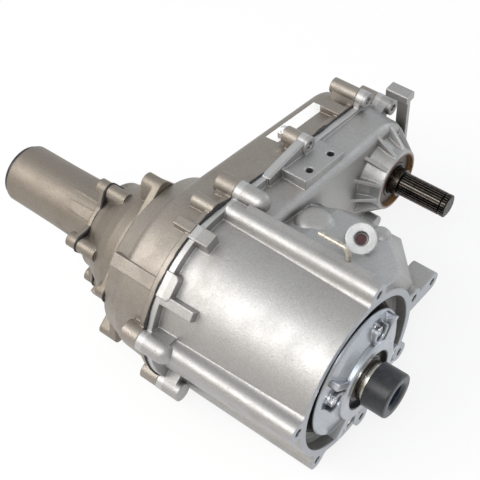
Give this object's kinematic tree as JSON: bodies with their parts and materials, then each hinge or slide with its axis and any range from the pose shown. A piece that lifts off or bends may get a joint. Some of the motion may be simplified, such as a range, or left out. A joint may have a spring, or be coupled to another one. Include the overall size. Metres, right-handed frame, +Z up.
{
  "type": "transfer case",
  "caption": "Chain-drive transfer case with a split cast housing, capped input shaft, splined front output and a long tail housing.",
  "frame": {"origin": "centre of the input flange's front face, on the main shaft axis", "axes": "+Y rearward along the main shaft, +X towards the front output shaft, +Z up"},
  "size_m": [0.4865, 0.5634, 0.2752],
  "materials": {
    "cast_silver": "fine blasted casting",
    "cast_satin": "satin casting",
    "cast_tan": "dull sand casting",
    "sealant": "squeezed-out bead",
    "zinc": "zinc plated",
    "yellow_zinc": "yellowed zinc",
    "ground_steel": "ground",
    "oiled_steel": "oiled",
    "gear_steel": "machined",
    "bearing_steel": "polished",
    "pump_cast": "machined casting",
    "pickup_steel": "pressed sheet",
    "bronze": "bored",
    "charcoal_plastic": "satin",
    "seal_rubber": "oiled",
    "red_plastic": "gloss",
    "label_stock": "matt film"
  },
  "bodies": {
    "case": {"front_case_half": "cast_silver", "rear_case_half": "cast_tan", "case_sealant": "sealant", "case_bolts": "zinc", "input_bearing_retainer": "cast_satin", "retainer_bolts": "zinc", "input_shaft_seal": "seal_rubber", "input_bearing_outer_race": "bearing_steel", "annulus_gear": "gear_steel", "shift_rail": "ground_steel", "drive_chain": "gear_steel", "front_output_seal": "seal_rubber", "output_bearing_outer_race": "bearing_steel", "output_tail_bearing": "bearing_steel", "oil_pump": "pump_cast", "oil_pickup": "pickup_steel", "magnet": "pickup_steel", "rear_bearing_outer_race": "bearing_steel", "rear_bearing_retainer": "cast_tan", "rear_retainer_sealant": "sealant", "rear_retainer_bolts": "zinc", "extension_housing": "cast_tan", "extension_sealant": "sealant", "extension_bolts": "zinc", "extension_bushing": "bronze", "tail_seal": "seal_rubber", "vent_tube": "yellow_zinc", "case_plugs": "zinc", "port_plug": "red_plastic", "blank_label": "label_stock"},
    "main_shaft": {"mainshaft": "oiled_steel", "tone_wheel": "gear_steel", "snap_rings": "gear_steel", "pump_rotor": "pump_cast", "rear_bearing_inner_race": "bearing_steel", "needle_bearings": "bearing_steel"},
    "input": {"input_shaft": "ground_steel", "input_bearing_inner_race": "bearing_steel"},
    "cap": {"shipping_cap": "charcoal_plastic"},
    "carrier": {"planet_carrier": "gear_steel", "planet_pins": "ground_steel"},
    "drive_wheel": {"drive_sprocket": "gear_steel"},
    "front_output": {"front_output_shaft": "oiled_steel", "driven_sprocket": "gear_steel", "output_bearing_inner_race": "bearing_steel"},
    "input_rollers": {"input_bearing_rollers": "bearing_steel"},
    "output_rollers": {"output_bearing_rollers": "bearing_steel"},
    "rear_rollers": {"rear_bearing_rollers": "bearing_steel"},
    "range_clutch": {"range_collar": "gear_steel"},
    "mode_clutch": {"mode_sleeve": "gear_steel"},
    "range_shift_fork": {"range_fork": "gear_steel"},
    "mode_shift_fork": {"mode_fork": "gear_steel"},
    "sector": {"shift_sector": "gear_steel", "sector_shaft": "ground_steel"},
    "planet_1": {"planet_gear_1": "gear_steel"},
    "planet_2": {"planet_gear_2": "gear_steel"},
    "planet_3": {"planet_gear_3": "gear_steel"},
    "planet_4": {"planet_gear_4": "gear_steel"},
    "planet_5": {"planet_gear_5": "gear_steel"},
    "planet_6": {"planet_gear_6": "gear_steel"}
  },
  "joints": [
    {"name": "main_spin", "type": "hinge", "parent": "case", "child": "main_shaft", "pos_m": [0, 0.2, 0], "axis": [0, 1, 0], "continuous": true},
    {"name": "input_spin", "type": "hinge", "parent": "case", "child": "input", "pos_m": [0, 0.02, 0], "axis": [0, 1, 0], "continuous": true},
    {"name": "carrier_spin", "type": "hinge", "parent": "case", "child": "carrier", "pos_m": [0, 0.07, 0], "axis": [0, 1, 0], "continuous": true},
    {"name": "planet_spin_1", "type": "hinge", "parent": "carrier", "child": "planet_1", "pos_m": [0.06413, 0.067, 0], "axis": [0, 1, 0], "continuous": true},
    {"name": "planet_spin_2", "type": "hinge", "parent": "carrier", "child": "planet_2", "pos_m": [0.03206, 0.067, 0.05553], "axis": [0, 1, 0], "continuous": true},
    {"name": "planet_spin_3", "type": "hinge", "parent": "carrier", "child": "planet_3", "pos_m": [-0.03206, 0.067, 0.05553], "axis": [0, 1, 0], "continuous": true},
    {"name": "planet_spin_4", "type": "hinge", "parent": "carrier", "child": "planet_4", "pos_m": [-0.06413, 0.067, 0], "axis": [0, 1, 0], "continuous": true},
    {"name": "planet_spin_5", "type": "hinge", "parent": "carrier", "child": "planet_5", "pos_m": [-0.03206, 0.067, -0.05553], "axis": [0, 1, 0], "continuous": true},
    {"name": "planet_spin_6", "type": "hinge", "parent": "carrier", "child": "planet_6", "pos_m": [0.03206, 0.067, -0.05553], "axis": [0, 1, 0], "continuous": true},
    {"name": "drive_sprocket_spin", "type": "hinge", "parent": "case", "child": "drive_wheel", "pos_m": [0, 0.195, 0], "axis": [0, 1, 0], "continuous": true},
    {"name": "front_output_spin", "type": "hinge", "parent": "case", "child": "front_output", "pos_m": [0.2655, 0.15, 0], "axis": [0, 1, 0], "continuous": true},
    {"name": "input_roller_spin", "type": "hinge", "parent": "case", "child": "input_rollers", "pos_m": [0, 0.024, 0], "axis": [0, 1, 0], "continuous": true},
    {"name": "output_roller_spin", "type": "hinge", "parent": "case", "child": "output_rollers", "pos_m": [0.2655, 0.14, 0], "axis": [0, 1, 0], "continuous": true},
    {"name": "rear_roller_spin", "type": "hinge", "parent": "case", "child": "rear_rollers", "pos_m": [0, 0.295, 0], "axis": [0, 1, 0], "continuous": true},
    {"name": "cap_pull", "type": "slide", "parent": "input", "child": "cap", "axis": [0, -1, 0], "range_m": [0, 0.03]},
    {"name": "sector_turn", "type": "hinge", "parent": "case", "child": "sector", "pos_m": [0.12, 0.056, 0], "axis": [0, 0, -1], "range_deg": [0, 26]},
    {"name": "range_fork_slide", "type": "slide", "parent": "case", "child": "range_shift_fork", "axis": [0, 1, 0], "range_m": [0, 0.016]},
    {"name": "range_collar_slide", "type": "slide", "parent": "main_shaft", "child": "range_clutch", "axis": [0, 1, 0], "range_m": [0, 0.016]},
    {"name": "mode_sleeve_slide", "type": "slide", "parent": "main_shaft", "child": "mode_clutch", "axis": [0, -1, 0], "range_m": [0, 0.009]},
    {"name": "mode_fork_slide", "type": "slide", "parent": "case", "child": "mode_shift_fork", "axis": [0, -1, 0], "range_m": [0, 0.009]}
  ],
  "couplings": [
    {"joint": "input_spin", "follows": "main_spin", "ratio": 1},
    {"joint": "carrier_spin", "follows": "main_spin", "ratio": 0.36842},
    {"joint": "planet_spin_1", "follows": "main_spin", "ratio": -1.7684},
    {"joint": "planet_spin_2", "follows": "main_spin", "ratio": -1.7684},
    {"joint": "planet_spin_3", "follows": "main_spin", "ratio": -1.7684},
    {"joint": "planet_spin_4", "follows": "main_spin", "ratio": -1.7684},
    {"joint": "planet_spin_5", "follows": "main_spin", "ratio": -1.7684},
    {"joint": "planet_spin_6", "follows": "main_spin", "ratio": -1.7684},
    {"joint": "drive_sprocket_spin", "follows": "main_spin", "ratio": 1},
    {"joint": "front_output_spin", "follows": "main_spin", "ratio": 1},
    {"joint": "input_roller_spin", "follows": "main_spin", "ratio": 0.45238},
    {"joint": "output_roller_spin", "follows": "main_spin", "ratio": 0.44237},
    {"joint": "rear_roller_spin", "follows": "main_spin", "ratio": 0.44444},
    {"joint": "range_fork_slide", "follows": "sector_turn", "m_per_rad": 0.035258},
    {"joint": "range_collar_slide", "follows": "sector_turn", "m_per_rad": 0.035258},
    {"joint": "mode_fork_slide", "follows": "mode_sleeve_slide", "ratio": 1}
  ]
}
